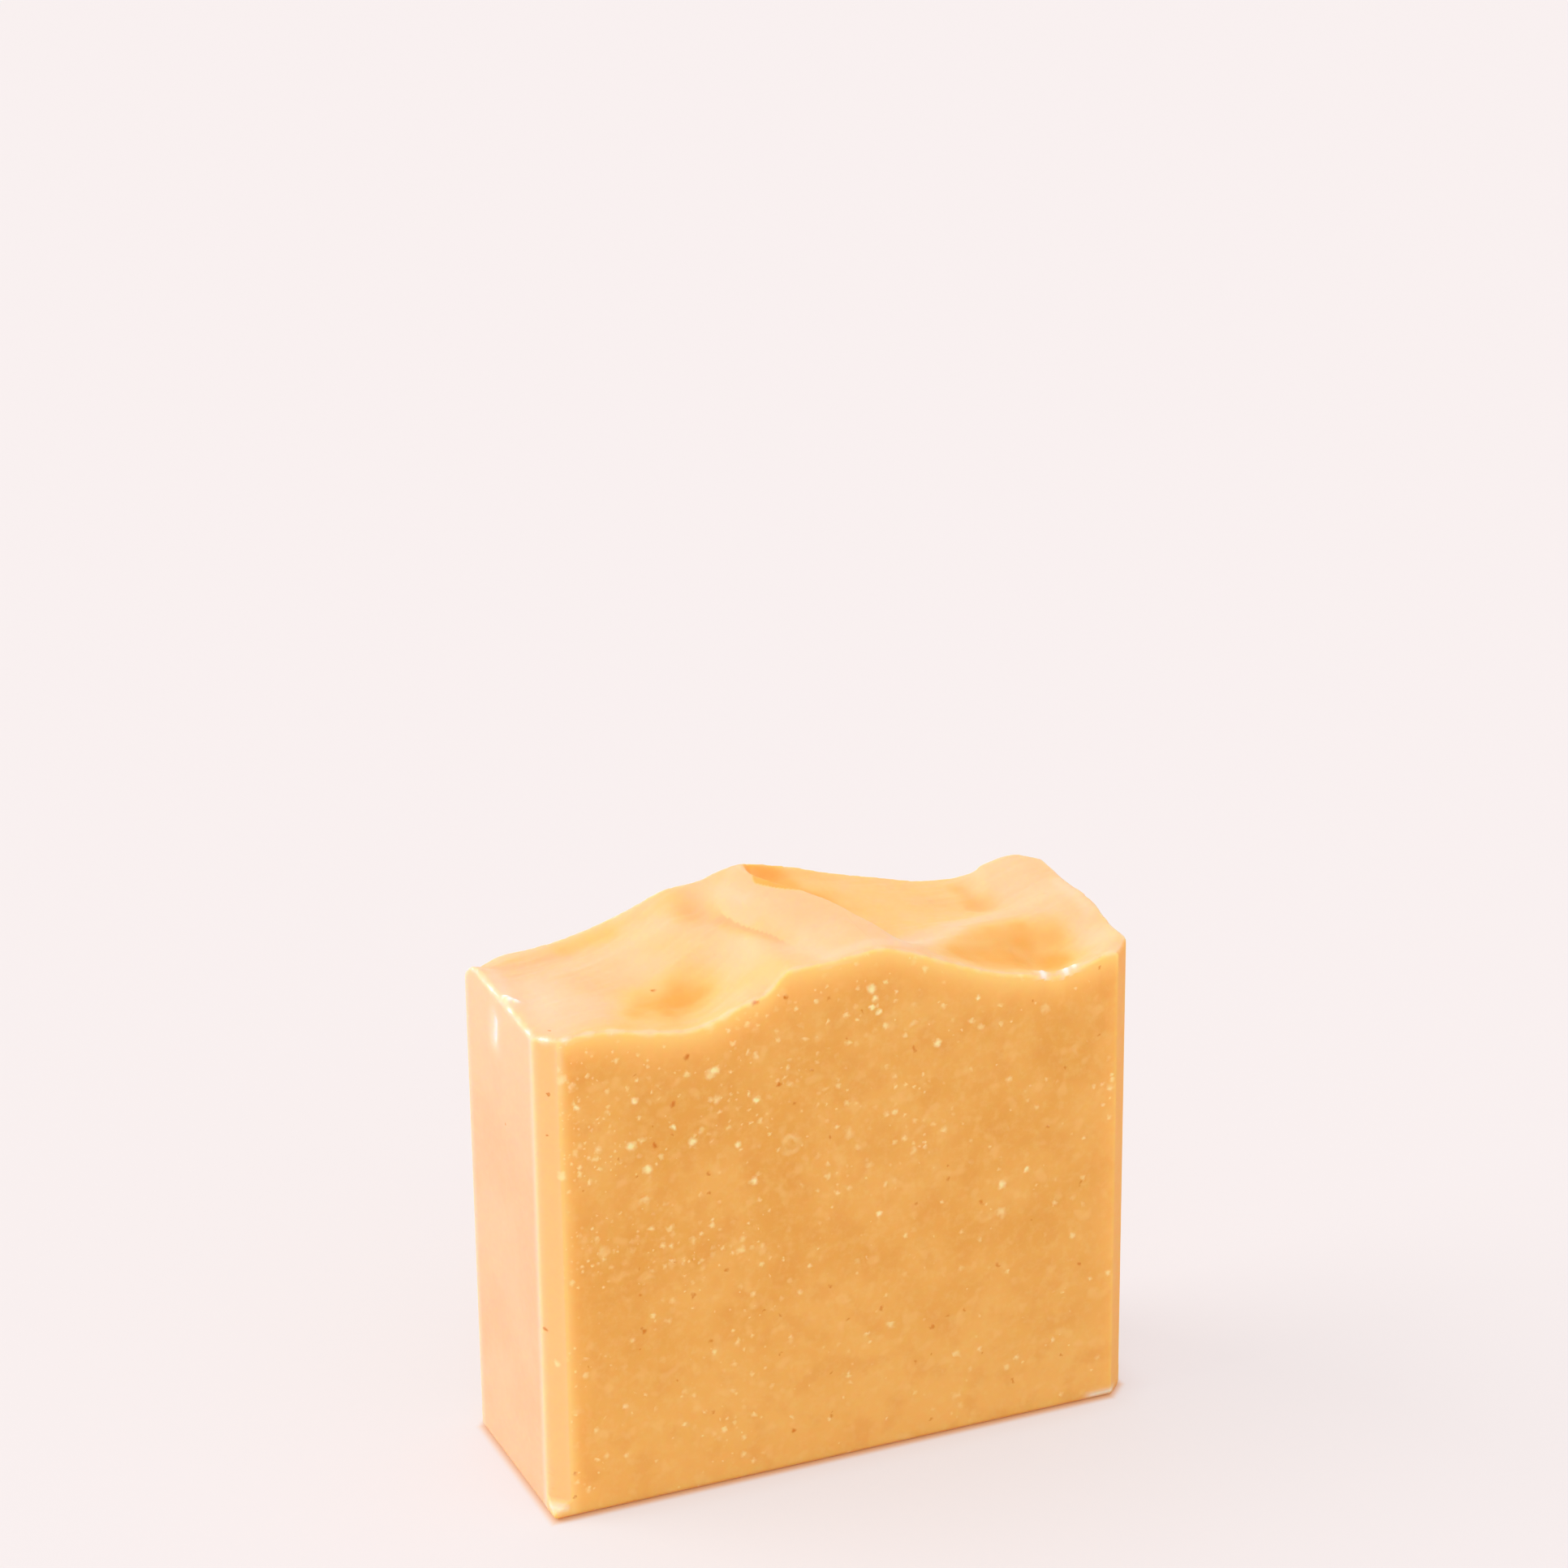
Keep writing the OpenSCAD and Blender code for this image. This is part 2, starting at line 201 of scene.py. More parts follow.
def photo_camera():
    """Camera at the photograph's viewing angle."""
    yaw, pitch, roll = (math.radians(a) for a in (CAMERA_YAW, CAMERA_PITCH, CAMERA_ROLL))
    forward = Vector((
        math.sin(yaw) * math.cos(pitch),
        math.cos(yaw) * math.cos(pitch),
        -math.sin(pitch),
    ))
    level = Vector((math.cos(yaw), -math.sin(yaw), 0))
    upright = level.cross(forward)
    right = level * math.cos(roll) + upright * math.sin(roll)
    up = upright * math.cos(roll) - level * math.sin(roll)
    data = bpy.data.cameras.new("photo_camera")
    data.sensor_width = SENSOR_WIDTH
    data.lens = SENSOR_WIDTH * FOCAL_PIXELS / IMAGE_WIDTH
    data.clip_start = 0.01
    data.clip_end = 20
    camera = bpy.data.objects.new("photo_camera", data)
    bpy.context.scene.collection.objects.link(camera)
    turned = camera.matrix_world.copy()
    for row in range(3):
        turned[row][0] = right[row]
        turned[row][1] = up[row]
        turned[row][2] = -forward[row]
        turned[row][3] = CAMERA_PLACE[row]
    camera.matrix_world = turned
    bpy.context.scene.camera = camera


def only(piece):
    """Select one object and nothing else."""
    bpy.ops.object.select_all(action="DESELECT")
    piece.select_set(True)
    bpy.context.view_layer.objects.active = piece


def apply_modifier(piece, kind, **values):
    """Add a modifier with these values and apply it to the mesh."""
    only(piece)
    modifier = piece.modifiers.new(kind.lower(), kind)
    for name, value in values.items():
        setattr(modifier, name, value)
    bpy.ops.object.modifier_apply(modifier=modifier.name)


class Wiring:
    """Short calls for the nodes of one material or node group."""

    def __init__(self, tree):
        self.tree = tree

    def feed(self, socket, value):
        if hasattr(value, "is_linked"):
            self.tree.links.new(value, socket)
        elif isinstance(value, (tuple, list)) and socket.type == "RGBA" and len(value) == 3:
            socket.default_value = (*value, 1)
        else:
            socket.default_value = value

    def node(self, kind, settings=None, **inputs):
        made = self.tree.nodes.new(kind)
        for name, value in (settings or {}).items():
            setattr(made, name, value)
        for name, value in inputs.items():
            self.feed(made.inputs[name.replace("_", " ")], value)
        return made

    def math(self, operation, a, b=0.0, clamp=False):
        made = self.tree.nodes.new("ShaderNodeMath")
        made.operation = operation
        made.use_clamp = clamp
        self.feed(made.inputs[0], a)
        self.feed(made.inputs[1], b)
        return made.outputs[0]

    def ramp(self, value, low, high, low_out=0.0, high_out=1.0, smooth=True):
        made = self.tree.nodes.new("ShaderNodeMapRange")
        made.interpolation_type = "SMOOTHSTEP" if smooth else "LINEAR"
        for socket, number in zip(made.inputs, (value, low, high, low_out, high_out)):
            self.feed(socket, number)
        return made.outputs[0]

    def mix(self, share, a, b, blend="MIX"):
        made = self.tree.nodes.new("ShaderNodeMix")
        made.data_type = "RGBA"
        made.blend_type = blend
        self.feed(made.inputs[0], share)
        self.feed(made.inputs[6], a)
        self.feed(made.inputs[7], b)
        return made.outputs[2]

    def noise(self, vector, scale, detail=2.0, roughness=0.5):
        made = self.node("ShaderNodeTexNoise", Vector=vector, Scale=scale, Detail=detail, Roughness=roughness)
        return made.outputs["Fac"]


def srgb(code):
    """Linear colour of a six-figure colour code."""
    parts = [int(code[i:i + 2], 16) / 255 for i in (0, 2, 4)]
    return tuple(p / 12.92 if p <= 0.04045 else ((p + 0.055) / 1.055) ** 2.4 for p in parts)


def new_group(name, ins, outs):
    """Empty shader node group with named sockets."""
    group = bpy.data.node_groups.new(name, "ShaderNodeTree")
    for socket, (kind, default) in ins.items():
        made = group.interface.new_socket(name=socket, in_out="INPUT", socket_type=kind)
        if default is not None:
            made.default_value = default
    for socket, kind in outs.items():
        group.interface.new_socket(name=socket, in_out="OUTPUT", socket_type=kind)
    given = group.nodes.new("NodeGroupInput").outputs
    out = group.nodes.new("NodeGroupOutput").inputs
    return group, Wiring(group), given, out


def specks_group():
    """Round grains of many sizes, each in its own cell of a flat pattern; some cells stay empty."""
    group, w, given, out = new_group(
        "specks",
        {
            "Vector": ("NodeSocketVector", None),
            "Cells": ("NodeSocketFloat", 900.0),
            "Share": ("NodeSocketFloat", 0.3),
            "Size": ("NodeSocketFloat", 0.25),
            "Softness": ("NodeSocketFloat", 0.4),
        },
        {"Mask": "NodeSocketFloat", "Cell": "NodeSocketFloat"},
    )
    finer = w.math("MULTIPLY", given["Cells"], 2.5)
    wobble = w.node("ShaderNodeTexNoise", Vector=given["Vector"], Scale=finer)
    shift = w.node("ShaderNodeVectorMath", {"operation": "SUBTRACT"})
    w.feed(shift.inputs[0], wobble.outputs["Color"])
    w.feed(shift.inputs[1], (0.5, 0.5, 0.5))
    small = w.node("ShaderNodeVectorMath", {"operation": "SCALE"})
    w.feed(small.inputs[0], shift.outputs[0])
    w.feed(small.inputs["Scale"], w.math("DIVIDE", 0.6, given["Cells"]))
    moved = w.node("ShaderNodeVectorMath", {"operation": "ADD"})
    w.feed(moved.inputs[0], given["Vector"])
    w.feed(moved.inputs[1], small.outputs[0])
    cells = w.node("ShaderNodeTexVoronoi", {"voronoi_dimensions": "2D"}, Scale=given["Cells"])
    w.feed(cells.inputs["Vector"], moved.outputs[0])
    chance = w.node("ShaderNodeSeparateColor", Color=cells.outputs["Color"])
    kept = w.math("LESS_THAN", chance.outputs["Red"], given["Share"])
    reach = w.math("MULTIPLY", given["Size"], w.ramp(chance.outputs["Green"], 0, 1, 0.45, 1.0, smooth=False))
    core = w.math("MULTIPLY", reach, w.math("SUBTRACT", 1.0, given["Softness"]))
    round_mask = w.ramp(cells.outputs["Distance"], core, reach, 1.0, 0.0)
    w.feed(out["Mask"], w.math("MULTIPLY", round_mask, kept))
    w.feed(out["Cell"], chance.outputs["Blue"])
    return group


def use_group(w, group, **inputs):
    """Place a node group with these inputs, and give its outputs."""
    made = w.tree.nodes.new("ShaderNodeGroup")
    made.node_tree = group
    for name, value in inputs.items():
        w.feed(made.inputs[name], value)
    return made.outputs


def fleck_layer(w, specks, pattern, share, look, strengths):
    """One size of cream flecks, as cells in a metre, size and softness, each fleck of its own strength."""
    cells, size, softness = look
    made = use_group(w, specks, Vector=pattern, Cells=cells, Share=share, Size=size, Softness=softness)
    return w.math("MULTIPLY", made["Mask"], w.ramp(made["Cell"], 0, 1, *strengths))


def mark_mask(w, place, spot, ring=False):
    """Soft round mark at one place, or a ring of that radius.

    A spot of a flat pattern has two coordinates, and others have three.
    """
    *centre, radius = (number * MM for number in spot)
    away = w.node("ShaderNodeVectorMath", {"operation": "DISTANCE"})
    w.feed(away.inputs[0], place)
    w.feed(away.inputs[1], (*centre, 0)[:3])
    distance = away.outputs["Value"]
    if ring:
        distance = w.math("ABSOLUTE", w.math("SUBTRACT", distance, radius))
        radius = 0.6 * radius
    return w.ramp(distance, 0.1 * radius, radius, 1.0, 0.0)


def marks(w, place, spots):
    """All of a list of soft round marks."""
    total = mark_mask(w, place, spots[0])
    for spot in spots[1:]:
        total = w.math("MAXIMUM", total, mark_mask(w, place, spot))
    return total


def shaken(w, place, wobble, reach):
    """The place shaken by this much along each axis, so that round marks grow uneven."""
    moved = w.node("ShaderNodeVectorMath", {"operation": "MULTIPLY_ADD"})
    w.feed(moved.inputs[0], wobble)
    w.feed(moved.inputs[1], reach)
    w.feed(moved.inputs[2], place)
    centred = w.node("ShaderNodeVectorMath", {"operation": "SUBTRACT"})
    w.feed(centred.inputs[0], moved.outputs[0])
    w.feed(centred.inputs[1], tuple(r / 2 for r in reach))
    return centred.outputs[0]


def flat_place(w, first, second, wobble):
    """Two coordinates as a flat pattern, shaken a little."""
    flat = w.node("ShaderNodeCombineXYZ", X=first, Y=second).outputs[0]
    return shaken(w, flat, wobble, (MM, MM, 0))


def soap_material(specks):
    """Waxy orange soap: pale skin on the moulded sides and top, partly its own bloom and partly painted sheen,
    deeper orange where the knife cut.
    """
    material = bpy.data.materials.new("swirled_soap")
    material.use_nodes = True
    tree = material.node_tree
    tree.nodes.clear()
    w = Wiring(tree)
    place = w.node("ShaderNodeTexCoord").outputs["Object"]
    split = w.node("ShaderNodeSeparateXYZ", Vector=place).outputs
    across = w.math("ABSOLUTE", split["Y"])
    cut = w.ramp(across, HALF_THICKNESS - 0.3 * MM, HALF_THICKNESS - 0.05 * MM)
    along = w.math("ABSOLUTE", split["X"])
    planed = w.ramp(w.math("ADD", along, across), BEVEL_LINE - 0.5 * MM, BEVEL_LINE - 0.15 * MM)
    end = w.ramp(along, HALF_LENGTH - 0.3 * MM, HALF_LENGTH - 0.05 * MM)
    pale, glow, warm_shade, shade, top = (
        w.node("ShaderNodeAttribute", {"attribute_name": name}).outputs["Fac"]
        for name in ("pale", "glow", "warm_shade", "shade", "top"))

    # Body colour: soft clouds a few millimetres wide, and finer ones inside them.
    clouds = w.noise(place, CLOUDS, 3.0, 0.55)
    grains = w.noise(place, GRAINS, 3.0, 0.65)
    patches = w.noise(place, PATCHES, 2.0, 0.5)
    cut_colour = w.mix(w.ramp(clouds, 0.3, 0.7), srgb(CUT_DEEP), srgb(CUT_LIGHT))
    # Painted light: the cut faces are paler towards the bottom, lifting the shade that falls there.
    cut_colour = w.mix(w.ramp(split["Z"], 0.0, 0.03, 0.6, 0.0), cut_colour, srgb(CUT_LOW_PAINTED_LIGHT))
    cut_colour = w.mix(w.math("MULTIPLY", w.ramp(patches, 0.48, 0.7), 0.4), cut_colour, srgb(CUT_PATCH))
    cut_colour = w.mix(w.math("MULTIPLY", w.ramp(grains, 0.4, 0.75), 0.4), cut_colour, srgb(CUT_GRAIN))
    spots = w.noise(place, SPOTS, 1.0)
    cut_colour = w.mix(w.math("MULTIPLY", w.ramp(spots, 0.56, 0.75), 0.4), cut_colour, srgb(CUT_SPOT))
    cut_colour = w.mix(glow, cut_colour, srgb(GLOW))
    cut_colour = w.mix(w.math("POWER", glow, 3.0), cut_colour, srgb(GLOW_EDGE))
    skin_colour = w.mix(w.ramp(clouds, 0.3, 0.7), srgb(SKIN_DEEP), srgb(SKIN_LIGHT))
    end_colour = w.mix(w.ramp(clouds, 0.3, 0.7), srgb(END_DEEP), srgb(END_LIGHT))
    end_colour = w.mix(w.ramp(split["Z"], 0.04, 0.065, 0.0, 0.6), end_colour, srgb(END_HIGH))
    skin_colour = w.mix(end, skin_colour, end_colour)
    # Painted light and shade: the planed bevels are paler on the left and deeper orange on the right.
    right = w.ramp(split["X"], -0.01, 0.01)
    skin_colour = w.mix(planed, skin_colour, w.mix(right, srgb(BEVEL_PAINTED_LIT), srgb(BEVEL_PAINTED_SHADED)))
    # Painted shade: deeper orange in the top's bowls and hollows, and a shade colour in small hollows.
    skin_colour = w.mix(w.ramp(warm_shade, 0.0, 0.6), skin_colour, srgb(WARM_SHADE_COLOUR))
    skin_colour = w.mix(w.ramp(warm_shade, 0.45, 1.0), skin_colour, srgb(WARM_SHADE_DEEP))
    skin_colour = w.mix(shade, skin_colour, srgb(SHADE))
    colour = w.mix(cut, skin_colour, cut_colour)

    # Cream flecks in three sizes and few brown specks: many on the cut faces, more up and to the left.
    wobble = w.node("ShaderNodeTexNoise", Vector=place, Scale=WOBBLES, Detail=2.0).outputs["Color"]
    shifted = w.math("ADD", split["X"], w.math("MULTIPLY", w.math("SIGN", split["Y"]), 0.3))
    pattern = w.node("ShaderNodeCombineXYZ", X=shifted, Y=split["Z"]).outputs[0]
    leftward = w.ramp(split["X"], -0.03, 0.025, 1.3, 0.4)
    crowd = w.math("MULTIPLY", leftward, w.ramp(split["Z"], 0.0, 0.05, 0.4, 1.0))
    crowd = w.math("MULTIPLY", crowd, w.ramp(w.noise(place, CROWDS, 1.0), 0.35, 0.6, 0.25, 1.5))
    strip = w.math("MULTIPLY", w.ramp(split["X"], -0.034, -0.026, 1.0, 0.3), 0.14)
    fine, middle, coarse = (
        fleck_layer(w, specks, pattern, w.math("MULTIPLY", crowd, share), look, strengths)
        for share, look, strengths in (
            (strip, (1500.0, 0.5, 0.9), (0.15, 0.6)),
            (0.24, (760.0, 0.5, 0.95), (0.1, 0.65)),
            (0.2, (330.0, 0.34, 0.98), (0.1, 0.6)),
        ))
    dark = use_group(w, specks, Vector=pattern, Cells=430.0, Share=0.06, Size=0.2, Softness=0.95)
    flecks = w.math("MAXIMUM", w.math("MAXIMUM", fine, middle), coarse)
    front = w.math("LESS_THAN", split["Y"], 0.0)
    face = flat_place(w, split["X"], split["Z"], wobble)
    ring = w.math("MULTIPLY", mark_mask(w, face, RING_MARK, True), w.ramp(patches, 0.4, 0.6, 0.1, 0.4))
    placed = w.math("MAXIMUM", marks(w, face, CREAM_MARKS), ring)
    flecks = w.math("MAXIMUM", flecks, w.math("MULTIPLY", placed, front))
    flecks = w.math("MULTIPLY", flecks, w.ramp(cut, 0, 1, 0.05, 1.0))
    round_about = shaken(w, place, wobble, (MM, MM, MM))
    flecks = w.math("MAXIMUM", flecks, w.math("MULTIPLY", marks(w, round_about, BEVEL_FLAKES), 0.8))
    colour = w.mix(flecks, colour, srgb(FLECK))
    on_front = w.math("MULTIPLY", w.math("MULTIPLY", marks(w, face, BROWN_MARKS), front), cut)
    above = flat_place(w, split["X"], split["Y"], wobble)
    on_top = w.math("MULTIPLY", marks(w, above, TOP_SPECKS), top)
    sprinkled = w.math("MULTIPLY", dark["Mask"], w.ramp(cut, 0, 1, 0.08, 0.75))
    browns = w.math("MAXIMUM", sprinkled, w.math("MAXIMUM", on_front, on_top))
    browns = w.math("MAXIMUM", browns, marks(w, round_about, BEVEL_SPECKS))
    colour = w.mix(browns, colour, srgb(BROWN))

    # Painted shade where the bar meets the board, and pale places: worn crumbs and scratch, and painted
    # highlights.
    past_end = w.math("SUBTRACT", along, HALF_LENGTH)
    past_cut = w.math("SUBTRACT", across, HALF_THICKNESS)
    past_side = w.math("MAXIMUM", past_end, past_cut)
    past_line = w.math("SUBTRACT", w.math("ADD", along, across), BEVEL_LINE)
    outer = w.ramp(w.math("MAXIMUM", past_side, past_line), -1.6 * MM, -0.8 * MM)
    contact_shade = w.math("MULTIPLY", w.ramp(split["Z"], 0.1 * MM, 1.2 * MM, 0.6, 0.0), outer)
    colour = w.mix(contact_shade, colour, srgb(CONTACT_SHADE))
    colour = w.mix(pale, colour, srgb(WORN_AND_HIGHLIGHT))
    colour = w.mix(w.ramp(pale, 0.55, 0.95), colour, srgb(WORN_AND_HIGHLIGHT_BRIGHT))

    bump = w.node("ShaderNodeBump", Strength=0.3, Distance=0.0002)
    pores = w.math("MULTIPLY", w.noise(place, PORES, 2.0), 0.3)
    height = w.math("ADD", pores, w.math("MULTIPLY", flecks, 0.25))
    w.feed(bump.inputs["Height"], w.math("SUBTRACT", height, w.math("MULTIPLY", browns, 0.3)))

    skin = w.node("ShaderNodeBsdfPrincipled")
    w.feed(skin.inputs["Base Color"], colour)
    w.feed(skin.inputs["Roughness"], w.ramp(grains, 0.3, 0.7, 0.5, 0.6))
    skin.inputs["IOR"].default_value = 1.45
    skin.inputs["Specular IOR Level"].default_value = 0.4
    skin.inputs["Subsurface Weight"].default_value = 0.8
    skin.inputs["Subsurface Radius"].default_value = (1.0, 0.42, 0.15)
    skin.inputs["Subsurface Scale"].default_value = 0.004
    w.feed(skin.inputs["Normal"], bump.outputs["Normal"])
    w.node("ShaderNodeOutputMaterial", Surface=skin.outputs["BSDF"])
    return material


def places_of(piece):
    """The piece's points, as rows of x, y, z."""
    places = np.zeros(len(piece.data.vertices) * 3)
    piece.data.vertices.foreach_get("co", places)
    return places.reshape(-1, 3)


def put_places(piece, places):
    """Move the piece's points."""
    piece.data.vertices.foreach_set("co", places.ravel())
    piece.data.update()


def tree_of(piece):
    """Search tree over the piece's faces."""
    mesh = bmesh.new()
    mesh.from_mesh(piece.data)
    tree = BVHTree.FromBMesh(mesh)
    mesh.free()
    return tree


def ease(low, high, at):
    """Smooth step from 0 to 1 between two values."""
    t = np.clip((at - low) / (high - low), 0, 1)
    return t * t * (3 - 2 * t)


def bell(distance, reach):
    """Round bell that falls away from 1 over a reach."""
    return np.exp(-(distance / reach) ** 2)


def ripple(x, y, length, seed):
    """Random waves about this long, mostly between -1 and 1."""
    rng = np.random.default_rng(seed)
    total = np.zeros(len(x))
    waves = rng.random((14, 3))
    for turn, phase, stretch in waves:
        rate = 2 * math.pi / (length * (0.6 + 0.9 * stretch))
        angle = 2 * math.pi * turn
        total += np.sin((x * math.cos(angle) + y * math.sin(angle)) * rate + 2 * math.pi * phase)
    return total / math.sqrt(2 * len(waves))


def smooth_line(points, steps=8):
    """Many points on a smooth line through a few, given in millimetres."""
    p = np.array(points) * MM
    p = np.vstack([2 * p[0] - p[1], p, 2 * p[-1] - p[-2]])
    line = []
    for a, b, c, d in zip(p, p[1:], p[2:], p[3:]):
        for t in np.arange(steps) / steps:
            line.append(b + 0.5 * t * (c - a + t * (2 * a - 5 * b + 4 * c - d + t * (3 * b - a - 3 * c + d))))
    line.append(p[-2])
    return np.array(line)


def beside(line, x, y):
    """Distance of each place from a line in plan, more than 0 on its right, and its share along it."""
    nearest = np.full(len(x), 1.0)
    side = np.zeros(len(x))
    share = np.zeros(len(x))
    for i, ((ax, ay), (bx, by)) in enumerate(zip(line, line[1:])):
        run, rise = bx - ax, by - ay
        t = np.clip(((x - ax) * run + (y - ay) * rise) / (run * run + rise * rise), 0, 1)
        dx, dy = x - ax - t * run, y - ay - t * rise
        distance = np.hypot(dx, dy)
        closer = distance < nearest
        nearest = np.where(closer, distance, nearest)
        side = np.where(closer, np.sign(dx * rise - dy * run), side)
        share = np.where(closer, (i + t) / (len(line) - 1), share)
    return nearest * side, share


def drawn_in(x, y, inset):
    """Nearest place in plan that lies at least this far inside the bar's outline."""
    ax = np.minimum(np.abs(x), HALF_LENGTH - inset)
    ay = np.minimum(np.abs(y), HALF_THICKNESS - inset)
    over = np.maximum(ax + ay - BEVEL_LINE + inset * math.sqrt(2), 0) / 2
    return np.sign(x) * (ax - over), np.sign(y) * (ay - over)


def edge_distances(bar):
    """For each point: how far below the top, how far inside the sides, and how far from an upright edge."""
    x, y, z = places_of(bar).T
    tree = tree_of(bar)
    ax, ay = np.abs(x), np.abs(y)
    inside_bevel = (BEVEL_LINE - ax - ay) / math.sqrt(2)
    inset = np.minimum(np.minimum(HALF_LENGTH - ax, HALF_THICKNESS - ay), inside_bevel)
    down = Vector((0, 0, -1))
    inner = zip(*drawn_in(x, y, 0.6 * MM))
    top = np.array([tree.ray_cast(Vector((px, py, 0.2)), down)[0].z for px, py in inner])
    by_cut = np.hypot(ax - (HALF_LENGTH - PLANED_BEVEL), ay - HALF_THICKNESS)
    by_end = np.hypot(ax - HALF_LENGTH, ay - (HALF_THICKNESS - PLANED_BEVEL))
    return np.maximum(top - z, 0), np.maximum(inset, 0), by_cut, by_end


def split_faces(bar, chosen):
    """Split each face between chosen points into four."""
    mesh = bmesh.new()
    mesh.from_mesh(bar.data)
    edges = [e for e in mesh.edges if chosen[e.verts[0].index] and chosen[e.verts[1].index]]
    bmesh.ops.subdivide_edges(mesh, edges=edges, cuts=1, use_grid_fill=True)
    mesh.to_mesh(bar.data)
    mesh.free()


def draw_out_corners(places, packed, chosen):
    """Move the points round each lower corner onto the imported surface, which has the foot and sharp edges."""
    for i in np.nonzero(chosen)[0]:
        x, y = places[i][:2]
        middle = Vector((
            math.copysign(HALF_LENGTH - LOWER_CORNER, x),
            math.copysign(HALF_THICKNESS - LOWER_CORNER, y),
            LOWER_CORNER / 2,
        ))
        places[i] = packed.ray_cast(middle, Vector(places[i]) - middle)[0]


def smooth_points(bar, name, chosen, rounds):
    """Even out the chosen points."""
    group = bar.vertex_groups.new(name=name)
    group.add([int(i) for i in np.nonzero(chosen)[0]], 1.0, "REPLACE")
    apply_modifier(bar, "SMOOTH", factor=0.5, iterations=rounds, vertex_group=name)
    bar.vertex_groups.clear()


def swirled_bar():
    """The bar with finer, even faces and soft edges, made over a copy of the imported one."""
    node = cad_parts["soap_bar"]
    bar = bpy.data.objects.new("swirled_bar", node.data.copy())
    bpy.context.scene.collection.objects.link(bar)
    bar.data.materials.clear()
    only(bar)
    bpy.ops.object.mode_set(mode="EDIT")
    bpy.ops.mesh.select_all(action="SELECT")
    bpy.ops.mesh.remove_doubles(threshold=0.002 * MM)
    bpy.ops.object.mode_set(mode="OBJECT")
    packed = tree_of(bar)
    apply_modifier(bar, "REMESH", mode="VOXEL", voxel_size=FACE_WIDTH, adaptivity=0)
    apply_modifier(bar, "SMOOTH", factor=0.5, iterations=3)

    # The top and the edges get faces half as wide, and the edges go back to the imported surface.
    drop, inset, by_cut, by_end = edge_distances(bar)
    x, y, z = places_of(bar).T
    scratched = (x < -HALF_LENGTH + 0.5 * MM) & (drop < 8 * MM)
    lower = (z < LOWER_CORNER) & (np.abs(x) + np.abs(y) > BEVEL_LINE - 1.2 * MM)
    base = (z < 1.3 * MM) & (inset < 1.5 * MM)
    split_faces(bar, (drop < 2.5 * MM) | (np.minimum(by_cut, by_end) < 1.3 * MM) | scratched | lower | base)
    x, y, z = places_of(bar).T
    split_faces(bar, (z < 3 * MM) & (np.abs(x) + np.abs(y) > BEVEL_LINE - 0.8 * MM))
    drop, inset, by_cut, by_end = edge_distances(bar)
    places = places_of(bar)
    x, y, z = places.T
    near = np.minimum.reduce([np.hypot(drop, inset), by_cut, by_end, np.hypot(z, inset)])
    lower = (z < LOWER_CORNER) & (np.abs(x) + np.abs(y) > BEVEL_LINE - 1 * MM)
    reach, fade = 1.6 * MM, 0.6 * MM
    for i in np.nonzero(near < reach)[0]:
        found = Vector(places[i])
        share = min((reach - near[i]) / fade, 1)
        places[i] = found.lerp(packed.find_nearest(found)[0], share)
    draw_out_corners(places, packed, lower)
    put_places(bar, places)
    smooth_points(bar, "edges", near < 1.8 * MM, 1)
    drop = edge_distances(bar)[0]
    smooth_points(bar, "top", drop < 0.6 * MM, 2)
    relief(bar)
    only(bar)
    bpy.ops.object.shade_smooth()
    return bar


def along_crease(share, fainter):
    """How strongly the crease shows along its line: softly in front, fainter past the middle, then none."""
    return ease(0.02, 0.2, share) * (1 - fainter * ease(0.45, 0.7, share)) * (1 - ease(0.9, 1, share))


